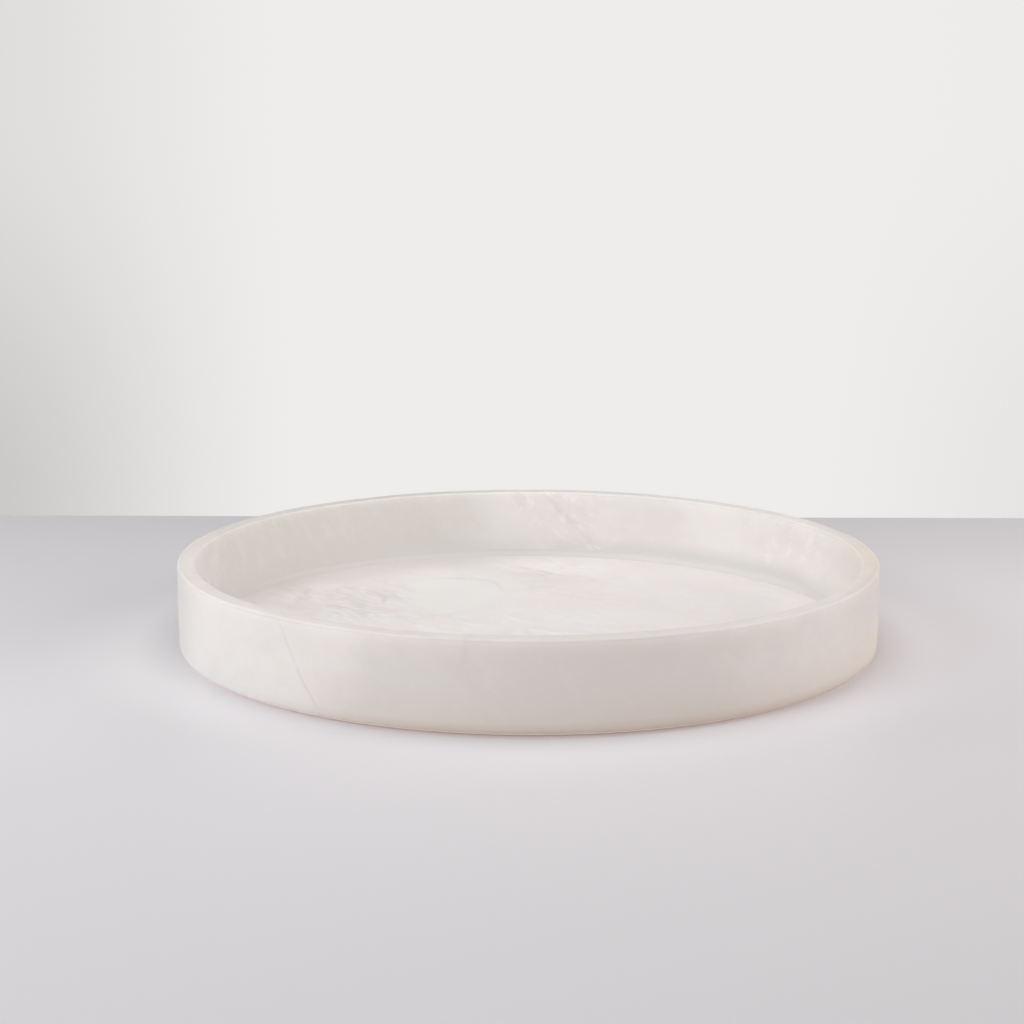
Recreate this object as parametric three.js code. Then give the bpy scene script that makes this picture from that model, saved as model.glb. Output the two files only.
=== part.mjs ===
// A round alabaster dresser tray, in millimetres, +Z up.
//
// A turned wall ring has a rebate in its lower inside edge. A turned base disc is bonded up into that
// rebate, and the same adhesive is tooled into a small cove along the inside corner. Four elastomer
// feet, each on its own adhesive disc, hold the stone clear of the table.
//
// The origin is on the table plane, on the tray's axis. The front of the tray is towards -Y.

import * as THREE from "three";

// The tray
const OUTER_DIAMETER = 406.4; // 16 in across the wall
const OVERALL_HEIGHT = 50.8; // 2 in from the table to the rim
const WALL_THICKNESS = 10;
const FLOOR_THICKNESS = 6;
const RIM_EDGE_RADIUS = 1.5; // both edges of the flat rim
const BASE_EDGE_RADIUS = 4; // the wall's lower outer edge

// The joint between the wall ring and the base disc
const REBATE_DEPTH = 3; // how far the disc reaches in under the wall
const BOND_THICKNESS = 0.5;
const COVE_RADIUS = 4;

// The feet, evenly spaced round the tray in this order
const FOOT_PLACES = ["back_right", "back_left", "front_left", "front_right"];
const FOOT_DIAMETER = 12.7; // at the top, where it is stuck on
const FOOT_HEIGHT = 1;
const FOOT_TAPER = 0.3; // how much smaller the radius is at the bottom
const FOOT_EDGE_RADIUS = 0.3;
const FOOT_ADHESIVE_THICKNESS = 0.2;
const FOOT_ADHESIVE_INSET = 0.35; // from the foot's top edge to the adhesive's
const FOOT_INSET = 38.2; // from the wall's outer face to a foot's centre

// Facets
const TRAY_SEGMENTS = 96;
const FOOT_SEGMENTS = 24;
const ROUND_STEPS = 4; // per quarter turn of a rounded edge or cove

// Heights above the table
const undersideZ = FOOT_HEIGHT + FOOT_ADHESIVE_THICKNESS;
const floorZ = undersideZ + FLOOR_THICKNESS;
const rebateZ = floorZ + BOND_THICKNESS;
const coveTopZ = floorZ + COVE_RADIUS;
const rimZ = OVERALL_HEIGHT;

// Radii from the tray's axis
const outerRadius = OUTER_DIAMETER / 2;
const innerRadius = outerRadius - WALL_THICKNESS;
const rebateRadius = innerRadius + REBATE_DEPTH;
const discRadius = rebateRadius - BOND_THICKNESS;
const openFloorRadius = innerRadius - COVE_RADIUS; // where the cove meets the floor
const footCircleRadius = outerRadius - FOOT_INSET;

const alabaster = { color: 0xe6dfda, roughness: 0.3, metalness: 0 };
const stoneAdhesive = { color: 0xdcd3cb, roughness: 0.45, metalness: 0 };
const elastomer = { color: 0xd8d6d1, roughness: 0.55, metalness: 0 };
const footAdhesive = { color: 0xc8c4bc, roughness: 0.7, metalness: 0 };

/** Points of a circular arc in a section, from one angle to another in degrees. */
function arc(centreR, centreZ, radius, fromDegrees, toDegrees) {
  const points = [];
  for (let step = 0; step <= ROUND_STEPS; step += 1) {
    const degrees = fromDegrees + ((toDegrees - fromDegrees) * step) / ROUND_STEPS;
    const angle = THREE.MathUtils.degToRad(degrees);
    points.push([centreR + radius * Math.cos(angle), centreZ + radius * Math.sin(angle)]);
  }
  return points;
}

/** A named mesh turned about the vertical axis from a section of [radius, height] points. */
function turned(name, section, segments, finish) {
  const profile = section.map(([radius, height]) => new THREE.Vector2(radius, height));
  const geometry = new THREE.LatheGeometry(profile, segments);
  geometry.rotateX(Math.PI / 2);
  const mesh = new THREE.Mesh(geometry, new THREE.MeshStandardMaterial(finish));
  mesh.name = name;
  return mesh;
}

/** The wall: flat rim with eased edges, rounded lower outer edge, rebate in the lower inside edge. */
function wallRing() {
  const section = [
    [rebateRadius, undersideZ],
    ...arc(outerRadius - BASE_EDGE_RADIUS, undersideZ + BASE_EDGE_RADIUS, BASE_EDGE_RADIUS, -90, 0),
    ...arc(outerRadius - RIM_EDGE_RADIUS, rimZ - RIM_EDGE_RADIUS, RIM_EDGE_RADIUS, 0, 90),
    ...arc(innerRadius + RIM_EDGE_RADIUS, rimZ - RIM_EDGE_RADIUS, RIM_EDGE_RADIUS, 90, 180),
    [innerRadius, rebateZ],
    [rebateRadius, rebateZ],
    [rebateRadius, undersideZ],
  ];
  return turned("wall_ring", section, TRAY_SEGMENTS, alabaster);
}

/** The floor of the tray, whose edge is held in the wall's rebate. */
function baseDisc() {
  const section = [
    [0, undersideZ],
    [discRadius, undersideZ],
    [discRadius, floorZ],
    [openFloorRadius, floorZ],
    [0, floorZ],
  ];
  return turned("base_disc", section, TRAY_SEGMENTS, alabaster);
}

/** The adhesive that fills the rebate round the disc's edge, with its cove in the inside corner. */
function bondLine() {
  const section = [
    [discRadius, undersideZ],
    [rebateRadius, undersideZ],
    [rebateRadius, rebateZ],
    [innerRadius, rebateZ],
    ...arc(openFloorRadius, coveTopZ, COVE_RADIUS, 0, -90),
    [discRadius, floorZ],
    [discRadius, undersideZ],
  ];
  return turned("bond_line", section, TRAY_SEGMENTS, stoneAdhesive);
}

/** One moulded foot, standing on z = 0. */
function foot(name) {
  const topRadius = FOOT_DIAMETER / 2;
  const bottomRadius = topRadius - FOOT_TAPER;
  const section = [
    [0, 0],
    ...arc(bottomRadius - FOOT_EDGE_RADIUS, FOOT_EDGE_RADIUS, FOOT_EDGE_RADIUS, -90, 0),
    [topRadius, FOOT_HEIGHT],
    [0, FOOT_HEIGHT],
  ];
  return turned(name, section, FOOT_SEGMENTS, elastomer);
}

/** The adhesive disc between one foot and the underside of the base disc. */
function footAdhesiveDisc(name) {
  const radius = FOOT_DIAMETER / 2 - FOOT_ADHESIVE_INSET;
  const section = [
    [0, FOOT_HEIGHT],
    [radius, FOOT_HEIGHT],
    [radius, undersideZ],
    [0, undersideZ],
  ];
  return turned(name, section, FOOT_SEGMENTS, footAdhesive);
}

/** A foot with its adhesive disc, moved together to the foot's place on the foot circle. */
function footSet(place, index) {
  const angle = (2 * Math.PI * (index + 0.5)) / FOOT_PLACES.length;
  const set = new THREE.Group();
  set.add(foot(`foot_${place}`));
  set.add(footAdhesiveDisc(`foot_adhesive_${place}`));
  set.position.x = footCircleRadius * Math.cos(angle);
  set.position.y = footCircleRadius * Math.sin(angle);
  return set;
}

const tray = new THREE.Group();
tray.add(wallRing(), baseDisc(), bondLine());
FOOT_PLACES.forEach((place, index) => tray.add(footSet(place, index)));

export default tray;
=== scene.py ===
"""A round alabaster dresser tray: a turned wall ring on a base disc, a cove in the corner and four feet."""

import math

import bmesh
import bpy
from bpy.props import FloatProperty, FloatVectorProperty, PointerProperty
from bpy.types import Operator, Panel, PropertyGroup
from mathutils import Matrix, Vector, noise


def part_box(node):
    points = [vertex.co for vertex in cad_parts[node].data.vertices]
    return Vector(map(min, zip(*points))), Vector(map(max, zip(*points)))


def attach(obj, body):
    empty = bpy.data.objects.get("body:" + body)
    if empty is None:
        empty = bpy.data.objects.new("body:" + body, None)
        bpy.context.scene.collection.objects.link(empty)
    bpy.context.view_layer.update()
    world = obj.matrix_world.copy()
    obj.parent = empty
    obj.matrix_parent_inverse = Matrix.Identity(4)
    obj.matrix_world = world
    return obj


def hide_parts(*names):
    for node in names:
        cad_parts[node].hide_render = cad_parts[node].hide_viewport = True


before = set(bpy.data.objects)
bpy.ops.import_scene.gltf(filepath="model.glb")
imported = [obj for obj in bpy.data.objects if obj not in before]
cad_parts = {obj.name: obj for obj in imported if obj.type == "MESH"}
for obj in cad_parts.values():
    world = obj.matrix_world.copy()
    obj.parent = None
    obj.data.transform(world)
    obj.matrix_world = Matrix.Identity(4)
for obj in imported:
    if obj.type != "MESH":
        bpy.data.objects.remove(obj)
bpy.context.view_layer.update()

bl_info = {
    "name": "Alabaster dresser tray",
    "version": (1, 0, 0),
    "blender": (4, 5, 0),
    "location": "3D View > Sidebar > Tray",
    "description": "Builds a round alabaster dresser tray on its feet, with a studio table and light",
    "category": "Add Mesh",
}

FOOT_PLACES = ("back_right", "back_left", "front_left", "front_right")
WALL_BOX, DISC_BOX, BOND_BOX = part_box("wall_ring"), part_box("base_disc"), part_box("bond_line")
OUTER_RADIUS = WALL_BOX[1].x
RIM_HEIGHT = WALL_BOX[1].z
UNDERSIDE = WALL_BOX[0].z
FLOOR_HEIGHT = DISC_BOX[1].z
DISC_RADIUS = DISC_BOX[1].x
REBATE_RADIUS = BOND_BOX[1].x
COVE_TOP = BOND_BOX[1].z

WHITE, BLACK = (1.0, 1.0, 1.0), (0.0, 0.0, 0.0)

# The stone lay in beds. This is the direction across them, in the tray's frame.
BEDDING = Vector((0.57, 0.55, 0.61)).normalized()

# Bearings in radians, larger towards the right, of the wall's markings and of where painted shade lies. The
# first three are from the front; the third is where the painted shade across the front begins.
VEIN_BEARING, WISP_BEARING, LIGHT_EDGE_BEARING = -0.557, -0.135, -0.52
# These four are from the back; the last is the middle of the painted shade on the left of the back.
FOLD_BEARING, FOLD_SEAM_BEARING, RIGHT_FOLD_BEARING, BACK_SHADE_BEARING = 0.061, 0.278, 1.05, -0.80

# Places and sizes of the floor's markings in metres, from the tray's axis.
LENS_X, LENS_Y, LENS_HALF_WIDTH, LENS_HALF_DEPTH = -0.048, 0.076, 0.031, 0.046
SCALES_X, SCALES_Y = -0.125, 0.070
STREAKS_X, STREAKS_Y = -0.06, 0.010
BACK_FOLDS_X, BACK_FOLDS_Y = 0.015, 0.155

# The slow and the quick waver of the polished wall, in cells of noise to the metre.
SLOW_WAVER, QUICK_WAVER = 14, 45
# Its seed. With none, or with 0, the noise takes its start from the clock.
WAVER_SEED = 7

# A section point nearer to the axis than this is on it.
ON_AXIS = 1e-9


# ---------------------------------------------------------------- sizes and colours


def length(name, description, default):
    """A length in metres that a user may set."""
    return FloatProperty(name=name, description=description, default=default, unit="LENGTH", precision=5)


def share(name, description, default):
    """A value from 0 to 1."""
    return FloatProperty(name=name, description=description, default=default, min=0, max=1, subtype="FACTOR")


def colour(name, description, default):
    """A linear colour."""
    return FloatVectorProperty(name=name, description=description, default=default, size=3, min=0, max=1,
                               subtype="COLOR")


def power(name, description, default):
    """A light's power in watts."""
    return FloatProperty(name=name, description=description, default=default, min=0, unit="POWER")


class TrayShape(PropertyGroup):
    """The sizes that the finished surfaces add to the turned pieces."""

    wall_thickness: length("Wall thickness", "Thickness of the upright wall", 0.010)
    rim_round: length("Rim edge radius", "Radius on both edges of the flat rim", 0.0015)
    base_round: length("Base edge radius", "Radius on the wall's lower outer edge", 0.004)
    hairline: length("Hairline", "Gap between pieces that touch", 0.00003)
    hand_wave: length("Hand finish", "How far the polished wall strays from a true circle", 0.00035)
    foot_round: length("Foot edge radius", "Radius on a foot's lower edge", 0.0003)
    foot_taper: length("Foot taper", "How much smaller a foot's radius is at the bottom", 0.0003)


class TrayFinish(PropertyGroup):
    """The stone's colours and polish, and the colours and tones that paint shade and light on it."""

    milk: colour("Milk", "The whitest stone", (0.925, 0.898, 0.878))
    haze: colour("Haze", "The greyer, clearer stone", (0.865, 0.832, 0.805))
    # Also the colour of painted shade on the wall and the floor.
    olive_and_shade: colour("Olive", "The dusky stone", (0.790, 0.770, 0.738))
    # Painted warm shade, low on the front of the wall and round its right.
    warm_shade: colour("Honey", "The warm stone low in the wall", (0.850, 0.785, 0.725))
    blush: colour("Blush", "The pink in the pearly folds", (0.922, 0.860, 0.858))
    pearl: colour("Pearl", "The brightest fibres", (0.985, 0.968, 0.960))
    # Also paints shade at the right end of the wall's outside.
    seam: colour("Seam", "The thin dark seams", (0.720, 0.650, 0.610))
    mauve: colour("Mauve", "The dark threads in the floor", (0.725, 0.640, 0.632))
    # Painted shade on the wall's rounded lower edge, in brown.
    lower_edge_shade: colour("Umber", "The brown stone along the wall's lower edge", (0.670, 0.570, 0.490))
    # Painted shade: the wall's outside and rim darkened against the floor.
    wall_shade_tone: colour("Wall tone", "The wall's block against the floor's", (0.935, 0.923, 0.915))
    # Painted shade: the wall's inside darkened against the floor.
    inside_shade_tone: colour("Inside tone", "The wall's inner face against the floor", (0.943, 0.948, 0.950))
    # Painted shade on the front and sides of the rim's top.
    rim_shade_tone: colour("Rim tone", "The front of the rim against the wall", (0.970, 0.950, 0.955))
    # Painted shade on the rim's edges where they catch the light.
    arris_shade_tone: colour("Arris tone", "The rim's brighter edge against the rim", (0.930, 0.923, 0.920))
    # Painted shade: the floor's border by the wall darkened.
    corner_shade_tone: colour("Corner tone", "The floor's border against its middle", (0.800, 0.790, 0.790))
    filler_light: colour("Filler, light", "The cove's stone dust", (0.800, 0.772, 0.752))
    # Also paints shade on the left of the cove.
    filler_dark_and_shade: colour("Filler, dark", "The cove's epoxy", (0.700, 0.675, 0.652))
    # Painted shade low on the cove, most of all on the left.
    filler_low_shade: colour("Filler, low", "The cove where it meets the floor", (0.675, 0.652, 0.632))
    # Painted light: given off as emission by the wall's underside.
    underglow: colour("Underglow", "Light that has come down through the wall", (0.330, 0.270, 0.248))
    wall_glow: length("Wall glow", "How far light travels in the wall's stone", 0.008)
    floor_glow: length("Floor glow", "How far light travels in the floor's stone", 0.0035)
    polish: share("Roughness", "Roughness of the rubbed-down stone", 0.55)
    gloss: share("Gloss", "Strength of the stone's reflections", 0.25)


class TrayStage(PropertyGroup):
    """The table and the light."""

    table: colour("Table", "The table top", (0.790, 0.770, 0.798))
    # Painted light: paler patches on the table beside the tray.
    table_lit_patch: colour("Table, pale", "The paler patches beside the tray", (0.865, 0.842, 0.866))
    backdrop: colour("Backdrop", "The wall behind the table", (0.855, 0.845, 0.830))
    overhead: power("Overhead", "Power of the softbox above the tray", 5.6)
    left: power("Left", "Power of the softbox on the left", 3.3)
    front_left: power("Front left", "Power of the cool softbox in front, on the left", 3.7)
    right: power("Right", "Power of the warm softbox on the right", 5.2)


# ---------------------------------------------------------------- shader maths


class Wire:
    """One output socket of a node tree. Arithmetic on it adds Math nodes."""

    def __init__(self, shader, socket):
        self.shader = shader
        self.socket = socket

    def maths(self, operation, *values):
        """The result of a Math node on these values."""
        return self.shader.node("Math", {"operation": operation}, dict(enumerate(values)))

    def __add__(self, other):
        return self.maths("ADD", self, other)

    def __radd__(self, other):
        return self.maths("ADD", other, self)

    def __sub__(self, other):
        return self.maths("SUBTRACT", self, other)

    def __rsub__(self, other):
        return self.maths("SUBTRACT", other, self)

    def __mul__(self, other):
        return self.maths("MULTIPLY", self, other)

    def __rmul__(self, other):
        return self.maths("MULTIPLY", other, self)

    def __truediv__(self, other):
        return self.maths("DIVIDE", self, other)

    def __neg__(self):
        return self.maths("MULTIPLY", self, -1.0)

    def sin(self):
        return self.maths("SINE", self)

    def root(self):
        return self.maths("SQRT", self)

    def smooth(self, low, high):
        """0 below low, 1 above high, and a smooth step between them. low may be the larger."""
        settings = {"interpolation_type": "SMOOTHSTEP", "clamp": True}
        return self.shader.node("MapRange", settings, {0: self, 1: low, 2: high, 3: 0.0, 4: 1.0})

    def between(self, low, high, edge):
        """1 from low to high, fading to 0 over the distance edge outside them."""
        return self.smooth(low - edge, low) * self.smooth(high + edge, high)

    def size(self):
        """The value without its sign."""
        return self.maths("ABSOLUTE", self)

    def capped(self):
        """The value, but 1 at most."""
        return self.maths("MINIMUM", self, 1.0)

    def line(self, width):
        """1 where this value is 0, falling to nothing within about two widths on both sides."""
        ratio = self / width
        return self.maths("EXPONENT", -(ratio * ratio))


class Shader:
    """The node tree of a material or world, emptied, ready for its nodes."""

    def __init__(self, owner):
        owner.use_nodes = True
        self.tree = owner.node_tree
        self.tree.nodes.clear()

    def node(self, kind, settings=None, inputs=None, output=0):
        """Adds a node: first its settings, then the values or links of its sockets. Gives one output."""
        made = self.tree.nodes.new("ShaderNode" + kind)
        for name, value in (settings or {}).items():
            setattr(made, name, value)
        for key, value in (inputs or {}).items():
            if isinstance(value, Wire):
                self.tree.links.new(value.socket, made.inputs[key])
            else:
                made.inputs[key].default_value = value
        return Wire(self, made.outputs[output]) if made.outputs else None

    def mix(self, factor, first, second):
        """A colour between two colours."""
        return self.node("Mix", {"data_type": "RGBA"}, {0: factor, 6: rgba(first), 7: rgba(second)}, output=2)

    def vector(self, operation, first, second):
        """The result of a Vector Math node."""
        return self.node("VectorMath", {"operation": operation}, {0: first, 1: second})

    def axes(self, where):
        """The x, y and z of a place or direction."""
        split = self.node("SeparateXYZ", None, {0: where})
        return split, *(Wire(self, split.socket.node.outputs[name]) for name in "YZ")

    def cloud(self, where, size, detail=4.0, roughness=0.5):
        """Noise from 0 to 1 whose lumps are about size metres across."""
        inputs = {"Vector": where, "Scale": 1 / size, "Detail": detail, "Roughness": roughness}
        return self.node("TexNoise", {"noise_dimensions": "3D"}, inputs)

    def stirred(self, where, size, reach):
        """Places moved about by up to reach metres, in swirls of about size metres."""
        inputs = {"Vector": where, "Scale": 1 / size, "Detail": 2.0}
        swirl = self.node("TexNoise", {"noise_dimensions": "3D"}, inputs, output="Color")
        centred = self.vector("SUBTRACT", swirl, (0.5, 0.5, 0.5))
        return self.vector("ADD", where, self.vector("MULTIPLY", centred, (2 * reach,) * 3))


def rgba(value):
    """A colour with its alpha, for a colour socket."""
    return value if isinstance(value, Wire) else (*value[:3], 1.0)


# ---------------------------------------------------------------- stone


def place(shader):
    """Where a point is in the tray, in metres."""
    return shader.node("TexCoord", output="Object")


def squeezed(shader, where, times):
    """Places in which what is drawn is so many times thinner across the stone's beds."""
    across = shader.node("VectorMath", {"operation": "DOT_PRODUCT"}, {0: where, 1: BEDDING}, output="Value")
    extra = across * (times - 1)
    shift = shader.node("CombineXYZ", None, {axis: extra * BEDDING[axis] for axis in range(3)})
    return shader.vector("ADD", where, shift)


def stone_shader(name, figure, glow_depth=0.0):
    """A rubbed-down stone. figure(shader, where, finish) gives its colour, how pearly it is, how close it is
    to a joint, and a painted glow, given off as emission, that stands in for light coming through it.
    Light travels glow_depth inside it, but not across joints."""
    finish = bpy.context.scene.tray_finish
    material = bpy.data.materials.new(name)
    shader = Shader(material)
    where = place(shader)
    tint, pearly, joint, underglow = figure(shader, where, finish)
    ripple = shader.cloud(where, 0.004, detail=3.0)
    waviness = shader.cloud(where, 0.03, detail=2.0)
    relief = ripple * 0.15 + waviness
    normal = shader.node("Bump", None, {"Strength": 0.3, "Distance": 0.0003, "Height": relief})
    skin = {
        "Base Color": tint,
        "Roughness": finish.polish + (ripple - 0.5) * 0.16 - pearly * 0.08,
        "Normal": normal,
        "IOR": 1.52,
        "Specular IOR Level": finish.gloss,
    }
    if underglow:
        # Painted light: the figure's glow is added as emission.
        skin |= {"Emission Color": underglow, "Emission Strength": 1.0}
    surface = shader.node("BsdfPrincipled", None, skin)
    if glow_depth:
        inside = {
            "Subsurface Weight": 1.0,
            "Subsurface Radius": (1.0, 0.90, 0.82),
            "Subsurface Scale": glow_depth,
        }
        glowing = shader.node("BsdfPrincipled", {"subsurface_method": "RANDOM_WALK"}, skin | inside)
        surface = shader.node("MixShader", None, {0: joint, 1: glowing, 2: surface})
    shader.node("OutputMaterial", None, {"Surface": surface})
    return material


def body_colour(shader, where, finish):
    """The stone's cloudy body, the same on every face of a block, and a fine mottle."""
    drift = shader.stirred(where, 0.08, 0.016)
    broad = shader.cloud(drift, 0.070, detail=3.0)
    mottle = shader.cloud(squeezed(shader, drift, 1.8), 0.018, detail=6.0, roughness=0.60)
    hazy = (broad * 0.65 + mottle * 0.35).smooth(0.38, 0.62)
    return shader.mix(hazy * 0.8, finish.milk, finish.haze), mottle


def fibres(shader, where, size, thin, grain=0.72):
    """Folded fibres along the beds: how pearly a place is, its bright flecks, and faint dark threads."""
    drift = squeezed(shader, shader.stirred(where, size * 2, size * 0.35), thin)
    fold = shader.cloud(drift, size, detail=5.0, roughness=0.60)
    fleck = shader.cloud(drift, size * 0.45, detail=8.0, roughness=grain).smooth(0.50, 0.64)
    thread = (shader.cloud(drift, size * 1.4, detail=2.0, roughness=0.5) - 0.5).line(0.030)
    patchy = shader.cloud(where, size * 2.5, detail=1.0).smooth(0.45, 0.65)
    return fold.smooth(0.44, 0.66), fleck, thread * patchy


def wall_figure(shader, where, finish):
    """Cloudy milk-white stone. One thin vein leans across the front and a pearly fold crosses the back.
    Painted shade darkens the left of the back, the wall low down at the back on the right, the foot of the
    inside, the front and both ends of the outside, and the rounded lower edge in brown; painted warm shade
    lies low on the front and round the right, and a painted glow, given off as emission, lights the
    underside. The outside, the inside, the rim and the rim edges each get a darker tone as painted shade, but
    the back of the outer rim edge is left untoned, which paints it lighter."""
    body, mottle = body_colour(shader, where, finish)
    x, y, z = shader.axes(where)
    height = (z - FLOOR_HEIGHT) / (RIM_HEIGHT - FLOOR_HEIGHT)
    from_front = x.maths("ARCTAN2", x, -y)
    from_back = x.maths("ARCTAN2", x, y)
    stray = (mottle - 0.5) * 0.12
    pearly, fleck, thread = fibres(shader, where, 0.020, 2.6)
    squared = x * x + y * y

    def inset(start, end):
        """0 at the first distance in from the outer face, and 1 at the second."""
        return squared.smooth((OUTER_RADIUS - start) ** 2, (OUTER_RADIUS - end) ** 2)

    lean = from_front - VEIN_BEARING + height * 0.127 + (height * math.pi).sin() * 0.008 + stray * 0.22
    vein = lean.line(0.0038) * height.between(0.06, 0.85, 0.12) * mottle.smooth(0.25, 0.55)
    wisp = (from_front - WISP_BEARING + height * 0.02 + stray).line(0.013) * height.smooth(0.25, 0.95)

    across_fold = from_back - FOLD_BEARING - (1 - height) * 0.15 + stray
    fold = across_fold.size().smooth(0.19, 0.09) * (0.35 + height * 0.65)
    along_seam = from_back - FOLD_SEAM_BEARING + height * 0.226 + stray * 0.6
    fold_seam = along_seam.line(0.014) * height.between(0.3, 0.85, 0.15)
    right_fold = (from_back - RIGHT_FOLD_BEARING + stray).between(-0.14, 0.12, 0.12)
    right_fold = right_fold * height.between(0.35, 0.85, 0.2)
    folds = (fold + right_fold * 0.45).capped()

    lighter_left = from_front - LIGHT_EDGE_BEARING - height * 0.115 + stray
    front_shade = lighter_left.smooth(-0.04, 0.10) * from_front.smooth(0.75, -0.15)
    end_shade = from_front.size().between(1.36, 1.75, 0.36)
    # Painted shade: darker at the left of the back, and low down at the back on the right.
    dusky = (from_back - BACK_SHADE_BEARING + stray * 3).between(-0.45, 0.40, 0.40) * (1 - pearly * 0.25)
    low_shade = height.smooth(0.38, 0.05) * (from_back - 0.75).between(-0.55, 0.30, 0.2)
    outward, inward = inset(0.006, 0.003), inset(0.008, 0.0095)
    # Painted warm shade: low on the front of the outside, and round the right.
    low_warm_shade = outward * height.smooth(0.55, -0.12) * (from_front - 0.35).between(-0.65, 1.0, 0.5)
    right_warm_shade = (from_front - 1.50 + stray).line(0.27)
    facing = from_front.smooth(-1.0, -0.15) * from_front.smooth(2.5, 1.7)
    brown = outward * z.smooth(UNDERSIDE + 0.0078, UNDERSIDE + 0.0010) * facing
    in_front = from_front.size().smooth(2.1, 1.3)
    rim = z.smooth(RIM_HEIGHT - 0.0028, RIM_HEIGHT - 0.0006) * from_front.size().smooth(1.55, 1.05)
    top = z.smooth(RIM_HEIGHT - 0.0024, RIM_HEIGHT - 0.0010)
    outer_arris = inset(0.0030, 0.0012) * top
    inner_arris = inset(0.0072, 0.0086) * top
    arris = outer_arris * in_front + inner_arris * (1 - in_front) * 1.3
    right_end_shade = outward * from_front.between(1.20, 1.90, 0.35)
    # Painted shade at the foot of the inside, by the cove.
    corner = inward * height.smooth(0.40, 0.02) * (0.3 + mottle * 0.6)

    # Painted shade at the left of the back, low at the back on the right and at the foot of the inside.
    stone = shader.mix((dusky + low_shade * 0.8 + corner).capped() * 0.9, body, finish.olive_and_shade)
    # Painted shade on the outside, across the front and at both ends.
    shade = front_shade * (0.72 - height * 0.52)
    shade = shade + end_shade * (0.70 + height * 0.45) * (1 - top * 0.7)
    stone = shader.mix(outward * shade, stone, finish.olive_and_shade)
    # Painted shade at the right end of the outside, in the seam colour.
    stone = shader.mix(right_end_shade * 0.30, stone, finish.seam)
    # Painted warm shade, low on the front and round the right.
    stone = shader.mix((low_warm_shade * 0.9 + right_warm_shade * 0.9) * (0.8 + mottle * 0.4), stone, finish.warm_shade)
    stone = shader.mix(folds * (0.45 + pearly * 0.5), stone, finish.blush)
    stone = shader.mix(folds * fleck * 0.9 + fleck * 0.08, stone, finish.pearl)
    stone = shader.mix(folds * thread * 0.30 + fold_seam * 0.22 + wisp * 0.20, stone, finish.seam)
    stone = shader.mix(vein * 0.42, stone, finish.seam)
    # Painted shade: the outside and rim take one darker tone and the inside another; the outer rim edge at
    # the back takes none, which paints it lighter.
    block = shader.mix(inward, finish.wall_shade_tone, finish.inside_shade_tone)
    block = shader.mix(outer_arris * (1 - in_front), block, WHITE)
    stone = shader.vector("MULTIPLY", stone, block)
    # Painted shade: the rim's top darker on the front and sides.
    stone = shader.vector("MULTIPLY", stone, shader.mix(rim, WHITE, finish.rim_shade_tone))
    # Painted shade: the rim's outer edge on the front and its inner edge at the back darkened where they
    # catch the light.
    stone = shader.vector("MULTIPLY", stone, shader.mix(arris, WHITE, finish.arris_shade_tone))
    # Painted shade: the rounded lower edge of the outside in brown.
    stone = shader.mix(brown * (0.60 + mottle * 0.5), stone, finish.lower_edge_shade)
    joint = inward * z.smooth(COVE_TOP + 0.012, COVE_TOP + 0.001)
    # Painted light: a warm glow given off as emission by the wall's underside and lowest edge, most at the
    # front, standing in for light that comes down through the wall.
    through = z.smooth(UNDERSIDE + 0.0016, UNDERSIDE) * (0.35 + in_front * 0.65)
    underglow = shader.mix(through, BLACK, finish.underglow)
    return stone, pearly, joint, underglow


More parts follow.
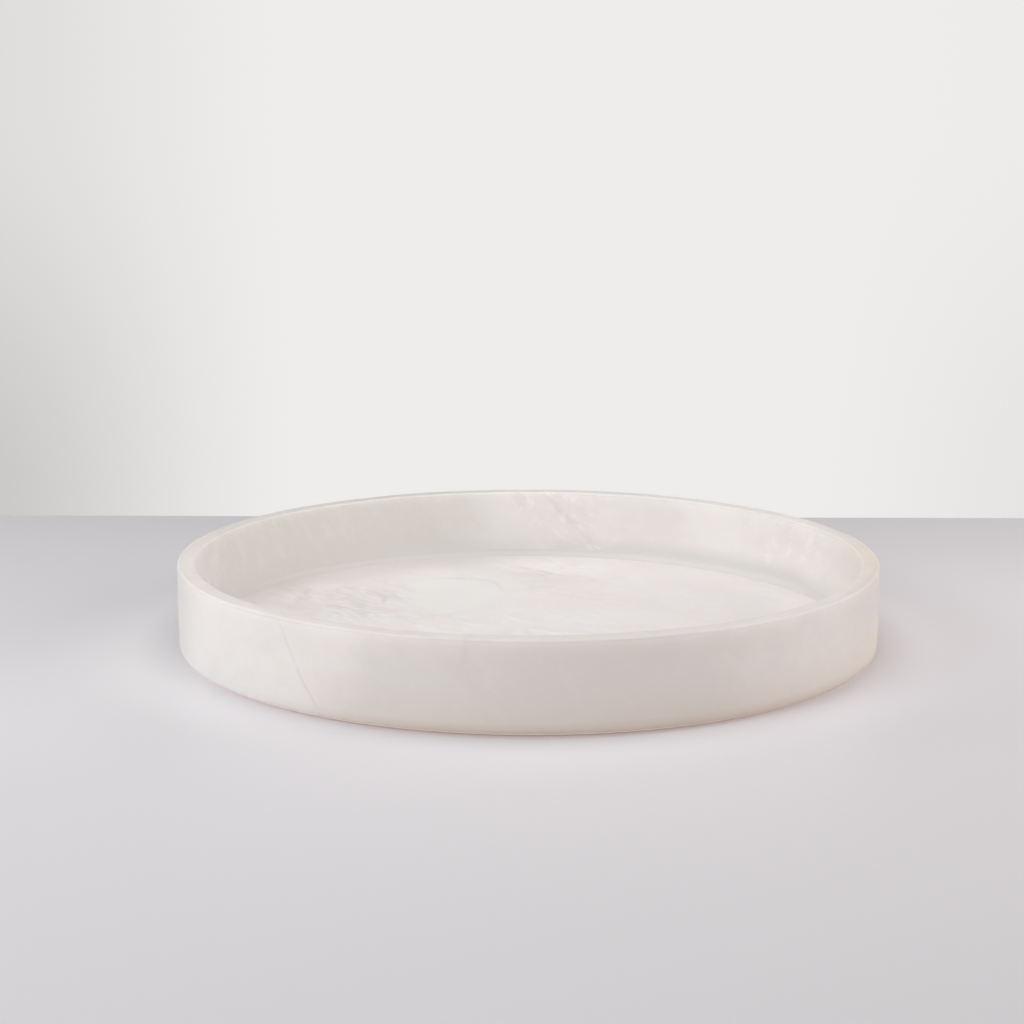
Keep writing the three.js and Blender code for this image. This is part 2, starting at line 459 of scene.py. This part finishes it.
def floor_figure(shader, where, finish):
    """The floor: pink and white folds, a smooth pale lens with a dark back edge, scales with mauve threads
    on its left, and one long seam. Painted shade darkens it near the corner, most of all at the back on the
    left, and along its left end."""
    body, mottle = body_colour(shader, where, finish)
    flat_x, flat_y, _ = shader.axes(where)
    x, y, _ = shader.axes(shader.stirred(shader.stirred(where, 0.05, 0.010), 0.02, 0.004))
    pearly, fleck, thread = fibres(shader, where, 0.028, 3.0)
    scales, scale_fleck, crack = fibres(shader, where, 0.040, 3.6, grain=0.62)

    lens_x, lens_y = (x - LENS_X) / LENS_HALF_WIDTH, (y - LENS_Y) / LENS_HALF_DEPTH
    from_lens = (lens_x * lens_x + lens_y * lens_y).root()
    lens = from_lens.smooth(1.25, 0.75)
    lens_edge = (from_lens - 1.0).line(0.060) * (lens_x * 0.5 + lens_y).smooth(0.55, 1.05)

    scaly = (x - SCALES_X).between(-0.040, 0.035, 0.03) * (y - SCALES_Y).between(-0.045, 0.035, 0.03)
    front_streaks = (x - STREAKS_X).between(-0.08, 0.09, 0.05) * (y - STREAKS_Y).between(-0.03, 0.012, 0.02)
    back_folds = (x - BACK_FOLDS_X).between(-0.055, 0.045, 0.03)
    back_folds = back_folds * (y - BACK_FOLDS_Y).between(-0.025, 0.020, 0.02)
    across_seam, along_seam = y * 0.74 + x * 0.67 - 0.1134, x * 0.74 - y * 0.67 + 0.103
    seam = across_seam.line(0.0040) * along_seam.between(-0.055, 0.055, 0.02) * mottle.smooth(0.30, 0.60)
    fold_shade = (across_seam + 0.020).line(0.016) * along_seam.between(-0.08, 0.03, 0.04)
    back_left = (y - x * 0.6 - 0.200).smooth(-0.045, 0.020)
    left_end = x.smooth(-0.138, -0.170)
    calm = x.smooth(0.0, 0.09)

    stone = shader.mix((1 - lens) * (0.45 + pearly * 0.55), body, finish.blush)
    stone = shader.mix(lens * 0.75, stone, finish.milk)
    stone = shader.mix(pearly * (1 - lens) * (1 - calm * 0.7) * 0.30, stone, finish.haze)
    streaky = (scaly * 0.9 + front_streaks * 0.7 + back_folds * 0.7) * mottle.smooth(0.25, 0.65)
    white = fleck * (1 - lens) * (0.35 - calm * 0.20) + streaky * scale_fleck * 0.85
    stone = shader.mix(white, stone, finish.pearl)
    further_back = y.smooth(0.010, 0.065)
    # Darker stone beside the fold and in the scales, and painted shade at the back on the left and along the
    # left end.
    shade = fold_shade * 0.5 + back_left * 0.7
    shade = shade + left_end * further_back + scaly * scales * further_back * 0.35
    stone = shader.mix(shade.capped(), stone, finish.olive_and_shade)
    dark = thread * (1 - lens) * (0.20 - calm * 0.12) + streaky * crack * (0.35 + further_back * 0.30)
    stone = shader.mix(dark, stone, finish.mauve)
    stone = shader.mix(lens_edge * 0.30 + seam * 0.32, stone, finish.seam)

    edge = OUTER_RADIUS - bpy.context.scene.tray_shape.wall_thickness - (COVE_TOP - FLOOR_HEIGHT)
    from_axis = (flat_x * flat_x + flat_y * flat_y).root()
    # Painted shade: the floor darker towards the wall, most of all at the back on the left.
    corner_shading = from_axis.smooth(edge - 0.032, edge) * (0.42 - back_left * 0.25) + back_left * 0.50
    border = shader.mix(corner_shading, WHITE, finish.corner_shade_tone)
    stone = shader.vector("MULTIPLY", stone, border)
    joint = from_axis.smooth(edge - 0.008, edge - 0.0005)
    return stone, pearly, joint, None


def filler_figure(shader, where, finish):
    """Stone dust and epoxy: the stone's colour, finely speckled, with painted shade low down and on the left.
    """
    speckle = shader.cloud(where, 0.0012, detail=4.0)
    cloudy = shader.cloud(where, 0.020, detail=3.0)
    x, _, z = shader.axes(where)
    # Painted shade: darker to the left and low down, where the cove meets the floor.
    dusky = x.smooth(0.10, -0.08)
    low = z.smooth(COVE_TOP - 0.0005, FLOOR_HEIGHT + 0.0005)
    stone = shader.mix(cloudy * 0.5 + speckle * 0.3 + dusky * 0.3, finish.filler_light, finish.filler_dark_and_shade)
    stone = shader.mix(low * (0.20 + dusky * 0.80), stone, finish.filler_low_shade)
    return stone, speckle, 1.0, None


# ---------------------------------------------------------------- turned meshes


def arc(centre_r, centre_z, radius, start, stop, steps=10):
    """Section points [radius, height] along an arc, from one angle to another in degrees."""
    angles = [math.radians(start + (stop - start) * step / steps) for step in range(steps + 1)]
    return [(centre_r + radius * math.cos(a), centre_z + radius * math.sin(a)) for a in angles]


def span(first, last, steps):
    """Section points from first to last, both included."""
    return [tuple(a + (b - a) * step / steps for a, b in zip(first, last)) for step in range(steps + 1)]


def turned(name, section, segments, centre=(0, 0), stray=None):
    """A smooth piece turned about a vertical axis. The section runs anticlockwise and closes on itself,
    or starts and ends on the axis. stray moves each point, given its place."""
    shape = bmesh.new()
    rings = []
    for radius, height in section:
        if radius < ON_AXIS:
            rings.append([shape.verts.new((*centre, height))] * segments)
            continue
        ring = []
        for step in range(segments):
            angle = 2 * math.pi * step / segments
            spot = Vector((radius * math.cos(angle), radius * math.sin(angle), height))
            spot += Vector((*centre, 0))
            ring.append(shape.verts.new(stray(spot) if stray else spot))
        rings.append(ring)
    on_axis = section[0][0] < ON_AXIS
    for index in range(len(rings) - 1 if on_axis else len(rings)):
        low, high = rings[index], rings[(index + 1) % len(rings)]
        for step in range(segments):
            after = (step + 1) % segments
            corners = [low[step], low[after], high[after], high[step]]
            shape.faces.new(list(dict.fromkeys(corners)))
    bmesh.ops.recalc_face_normals(shape, faces=shape.faces)
    mesh = bpy.data.meshes.new(name)
    shape.to_mesh(mesh)
    shape.free()
    mesh.shade_smooth()
    piece = bpy.data.objects.new(name, mesh)
    bpy.context.scene.collection.objects.link(piece)
    return piece


def hand_finished(spot):
    """A point of the polished wall, moved a little out of true above the cove."""
    free = min(1.0, max(0.0, (spot.z - COVE_TOP) / 0.01))
    slow, quick = noise.noise_vector(spot * SLOW_WAVER), noise.noise_vector(spot * QUICK_WAVER)
    drift = slow + quick * 0.35
    return spot + Vector((drift.x, drift.y, drift.z * 0.7)) * bpy.context.scene.tray_shape.hand_wave * free


def as_piece(piece, material, *nodes, slot):
    """Gives a piece its finish and its body, and hides the CAD nodes that it stands for."""
    piece.data.materials.append(material)
    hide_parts(*nodes)
    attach(piece, "root")
    return piece


# ---------------------------------------------------------------- operators


class TRAY_OT_wall(Operator):
    """Turns the wall ring, with its flat rim, eased edges and rebate"""

    bl_idname = "tray.wall"
    bl_label = "Alabaster wall"

    def execute(self, context):
        size = context.scene.tray_shape
        inner = OUTER_RADIUS - size.wall_thickness
        rim, base, ease = size.rim_round, size.base_round, 0.0003
        rebate = REBATE_RADIUS + size.hairline
        ceiling = FLOOR_HEIGHT + (REBATE_RADIUS - DISC_RADIUS) + size.hairline
        outer_foot, outer_top = UNDERSIDE + base, RIM_HEIGHT - rim
        section = [
            (rebate, UNDERSIDE),
            (OUTER_RADIUS - base - ease, UNDERSIDE),
            *arc(OUTER_RADIUS - base, outer_foot, base, -90, 0),
            *span((OUTER_RADIUS, outer_foot + ease), (OUTER_RADIUS, outer_top - ease), 12),
            *arc(OUTER_RADIUS - rim, outer_top, rim, 0, 90),
            *span((OUTER_RADIUS - rim - ease, RIM_HEIGHT), (inner + rim + ease, RIM_HEIGHT), 3),
            *arc(inner + rim, outer_top, rim, 90, 180),
            *span((inner, outer_top - ease), (inner, ceiling + ease), 12),
            (inner, ceiling),
            (rebate, ceiling),
        ]
        noise.seed_set(WAVER_SEED)
        ring = turned("tray_wall", section, 360, stray=hand_finished)
        stone = stone_shader("Wall alabaster", wall_figure, context.scene.tray_finish.wall_glow)
        as_piece(ring, stone, "wall_ring", slot="wall_alabaster")
        return {"FINISHED"}


class TRAY_OT_floor(Operator):
    """Turns the base disc that is the tray's floor"""

    bl_idname = "tray.floor"
    bl_label = "Alabaster floor"

    def execute(self, context):
        size = context.scene.tray_shape
        edge = DISC_RADIUS - size.hairline
        section = [
            *span((0, UNDERSIDE), (edge, UNDERSIDE), 12),
            *span((edge, FLOOR_HEIGHT), (0, FLOOR_HEIGHT), 12),
        ]
        disc = turned("tray_floor", section, 240)
        disc.data.set_sharp_from_angle(angle=math.radians(40))
        stone = stone_shader("Floor alabaster", floor_figure, context.scene.tray_finish.floor_glow)
        as_piece(disc, stone, "base_disc", slot="floor_alabaster")
        return {"FINISHED"}


class TRAY_OT_cove(Operator):
    """Fills the rebate with stone adhesive and tools it into a cove along the inside corner"""

    bl_idname = "tray.cove"
    bl_label = "Adhesive cove"

    def execute(self, context):
        size = context.scene.tray_shape
        inner = OUTER_RADIUS - size.wall_thickness - size.hairline
        radius = COVE_TOP - FLOOR_HEIGHT
        floor = FLOOR_HEIGHT + size.hairline
        bond = REBATE_RADIUS - DISC_RADIUS
        section = [
            (DISC_RADIUS, UNDERSIDE),
            (REBATE_RADIUS, UNDERSIDE),
            (REBATE_RADIUS, FLOOR_HEIGHT + bond),
            (inner, FLOOR_HEIGHT + bond),
            *arc(inner - radius, floor + radius, radius, 0, -90, 12),
            (DISC_RADIUS, floor),
        ]
        cove = turned("corner_cove", section, 360)
        cove.data.set_sharp_from_angle(angle=math.radians(40))
        as_piece(cove, stone_shader("Cove adhesive", filler_figure), "bond_line", slot="stone_adhesive")
        return {"FINISHED"}


class TRAY_OT_feet(Operator):
    """Moulds the four feet"""

    bl_idname = "tray.feet"
    bl_label = "Feet"

    def execute(self, context):
        size = context.scene.tray_shape
        material = elastomer()
        for where in FOOT_PLACES:
            low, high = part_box(f"foot_{where}")
            middle = (low + high) / 2
            top = (high.x - low.x) / 2
            bottom = top - size.foot_taper
            ease = size.foot_round
            section = [
                (0, 0),
                (bottom - ease - 0.0001, 0),
                *arc(bottom - ease, ease, ease, -90, 0, 8),
                *span((bottom + 0.00003, ease + 0.0001), (top, high.z), 3),
                (0, high.z),
            ]
            foot = turned(f"rubber_foot_{where}", section, 64, centre=(middle.x, middle.y))
            foot.data.set_sharp_from_angle(angle=math.radians(50))
            as_piece(foot, material, f"foot_{where}", slot="foot_elastomer")
        film = adhesive_film()
        for where in FOOT_PLACES:
            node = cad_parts[f"foot_adhesive_{where}"]
            node.data.materials.clear()
            node.data.materials.append(film)
        return {"FINISHED"}


def elastomer():
    """Milky moulded polyurethane."""
    material = bpy.data.materials.new("Foot elastomer")
    shader = Shader(material)
    where = place(shader)
    haze = shader.cloud(where, 0.002, detail=4.0)
    normal = shader.node("Bump", None, {"Strength": 0.3, "Distance": 0.0001, "Height": haze})
    surface = shader.node("BsdfPrincipled", None, {
        "Base Color": shader.mix(haze, (0.66, 0.65, 0.60), (0.74, 0.73, 0.69)),
        "Roughness": 0.42 + haze * 0.2,
        "Normal": normal,
        "Subsurface Weight": 0.8,
        "Subsurface Radius": (1.0, 0.9, 0.8),
        "Subsurface Scale": 0.002,
    })
    shader.node("OutputMaterial", None, {"Surface": surface})
    return material


def adhesive_film():
    """Yellowish pressure-sensitive adhesive."""
    material = bpy.data.materials.new("Foot adhesive film")
    shader = Shader(material)
    fibre = shader.cloud(place(shader), 0.0015, detail=3.0)
    surface = shader.node("BsdfPrincipled", None, {
        "Base Color": shader.mix(fibre, (0.60, 0.56, 0.48), (0.68, 0.65, 0.58)),
        "Roughness": 0.5 + fibre * 0.2,
    })
    shader.node("OutputMaterial", None, {"Surface": surface})
    return material


class TRAY_OT_stage(Operator):
    """Sets the table, the backdrop, the softboxes and the camera"""

    bl_idname = "tray.stage"
    bl_label = "Studio"

    def execute(self, context):
        stage = context.scene.tray_stage
        table_top(stage)
        studio_backdrop(context.scene, stage)
        above, tray = Vector((0.0, -0.12, 0.0)), Vector((0.0, 0.0, 0.02))
        warm, cool = (1.035, 0.997, 0.968), (0.92, 1.01, 1.07)
        softbox("overhead_softbox", (0.0, -0.12, 1.10), above, (0.9, 0.9), stage.overhead, warm)
        softbox("left_softbox", (-1.15, 0.10, 0.50), tray, (0.8, 0.6), stage.left, (0.980, 0.999, 1.021))
        softbox("front_left_softbox", (-0.95, -0.85, 0.60), tray, (0.6, 0.6), stage.front_left, cool)
        softbox("right_softbox", (1.15, 0.10, 0.50), tray, (0.8, 0.6), stage.right, (1.033, 0.99, 0.977))
        photographer(context.scene)
        context.scene.view_settings.view_transform = "Standard"
        return {"FINISHED"}


def table_top(stage):
    """The table, whose back edge shows just behind the tray."""
    half_width, front, back, thickness = 1.0, -0.80, 0.364, 0.012
    mesh = bpy.data.meshes.new("table_top")
    shape = bmesh.new()
    bmesh.ops.create_cube(shape, size=1.0)
    scale = Matrix.Diagonal((2 * half_width, back - front, thickness, 1))
    bmesh.ops.transform(shape, matrix=Matrix.Translation((0, (back + front) / 2, -thickness / 2)) @ scale,
                        verts=shape.verts)
    bmesh.ops.bevel(shape, geom=shape.edges, offset=0.001, segments=3, affect="EDGES")
    shape.to_mesh(mesh)
    shape.free()
    table = bpy.data.objects.new("table_top", mesh)
    bpy.context.scene.collection.objects.link(table)
    material = bpy.data.materials.new("Table lacquer")
    shader = Shader(material)
    where = place(shader)
    grain = shader.cloud(where, 0.004, detail=4.0)
    x, y, _ = shader.axes(where)
    # Painted light: two paler patches on the table, front left and back right of the tray.
    pale = light_pool(x + 0.245, y + 0.120, 0.085, 0.13) + light_pool(x - 0.290, y - 0.080, 0.100, 0.16)
    surface = shader.node("BsdfPrincipled", None, {
        "Base Color": shader.mix(pale.capped(), stage.table, stage.table_lit_patch),
        "Roughness": 0.5 + (grain - 0.5) * 0.1,
        "Specular IOR Level": 0.3,
    })
    shader.node("OutputMaterial", None, {"Surface": surface})
    mesh.materials.append(material)


def light_pool(x, y, half_width, half_depth):
    """1 where x and y are 0, fading out over about these distances."""
    across, along = x / half_width, y / half_depth
    return (across * across + along * along).root().line(1.0)


def studio_backdrop(scene, stage):
    """A pale backdrop for the eye, dimmer low down at both sides, and for the light a room that is
    brightest in front."""
    world = bpy.data.worlds.new("Studio")
    scene.world = world
    shader = Shader(world)
    x, y, z = shader.axes(shader.node("TexCoord", output="Generated"))
    left = x.smooth(-0.10, -0.28) * (0.158 + z.smooth(0.0, -0.19) * 0.18)
    right = x.smooth(0.12, 0.30) * (0.02 + z.smooth(0.0, -0.19) * 0.09)
    seen = shader.mix(left + right, stage.backdrop, BLACK)
    lighting = shader.mix(y.smooth(0.0, -0.9), (0.124, 0.124, 0.124), (0.670, 0.667, 0.660))
    is_seen = shader.node("LightPath", output="Is Camera Ray")
    room = shader.mix(is_seen, lighting, seen)
    background = shader.node("Background", None, {"Color": room, "Strength": 1.0})
    shader.node("OutputWorld", None, {"Surface": background})


def softbox(name, at, towards, size, watts, tint):
    """A rectangular area light, hidden from the camera."""
    light = bpy.data.lights.new(name, "AREA")
    light.shape = "RECTANGLE"
    light.size, light.size_y = size
    light.energy = watts
    light.color = tint
    lamp = bpy.data.objects.new(name, light)
    lamp.location = at
    lamp.rotation_euler = (Vector(towards) - Vector(at)).to_track_quat("-Z", "Y").to_euler()
    lamp.visible_camera = False
    bpy.context.scene.collection.objects.link(lamp)


def photographer(scene):
    """The camera, six tray radii away and looking down on the tray, its axis turned up a little from it."""
    distance, elevation = 6 * OUTER_RADIUS, math.radians(14.52)
    lens = bpy.data.cameras.new("camera")
    lens.sensor_width, lens.lens = 36.0, 72.39
    camera = bpy.data.objects.new("camera", lens)
    place_of_lens = Vector((0, -distance * math.cos(elevation), distance * math.sin(elevation)))
    towards_tray = Matrix.Rotation(math.pi / 2 - elevation, 4, "X")
    yaw = Matrix.Rotation(math.radians(0.45), 4, "Y")
    pitch = Matrix.Rotation(math.radians(3.45), 4, "X")
    roll = Matrix.Rotation(math.radians(0.18), 4, "Z")
    camera.matrix_world = Matrix.Translation(place_of_lens) @ towards_tray @ yaw @ pitch @ roll
    scene.collection.objects.link(camera)
    scene.camera = camera


class VIEW3D_PT_tray(Panel):
    """The tray's pieces, each with its button"""

    bl_label = "Alabaster tray"
    bl_space_type = "VIEW_3D"
    bl_region_type = "UI"
    bl_category = "Tray"

    def draw(self, context):
        for operator in OPERATORS:
            self.layout.operator(operator.bl_idname)
        for group in (context.scene.tray_shape, context.scene.tray_finish, context.scene.tray_stage):
            for name in group.__annotations__:
                self.layout.prop(group, name)


OPERATORS = (TRAY_OT_stage, TRAY_OT_wall, TRAY_OT_floor, TRAY_OT_cove, TRAY_OT_feet)
CLASSES = (TrayShape, TrayFinish, TrayStage, *OPERATORS, VIEW3D_PT_tray)


def register():
    for cls in CLASSES:
        bpy.utils.register_class(cls)
    bpy.types.Scene.tray_shape = PointerProperty(type=TrayShape)
    bpy.types.Scene.tray_finish = PointerProperty(type=TrayFinish)
    bpy.types.Scene.tray_stage = PointerProperty(type=TrayStage)


def unregister():
    del bpy.types.Scene.tray_stage, bpy.types.Scene.tray_finish, bpy.types.Scene.tray_shape
    for cls in reversed(CLASSES):
        bpy.utils.unregister_class(cls)


def main():
    """Builds the stage and the tray."""
    register()
    bpy.ops.tray.stage()
    bpy.ops.tray.wall()
    bpy.ops.tray.floor()
    bpy.ops.tray.cove()
    bpy.ops.tray.feet()


if __name__ == "__main__":
    main()
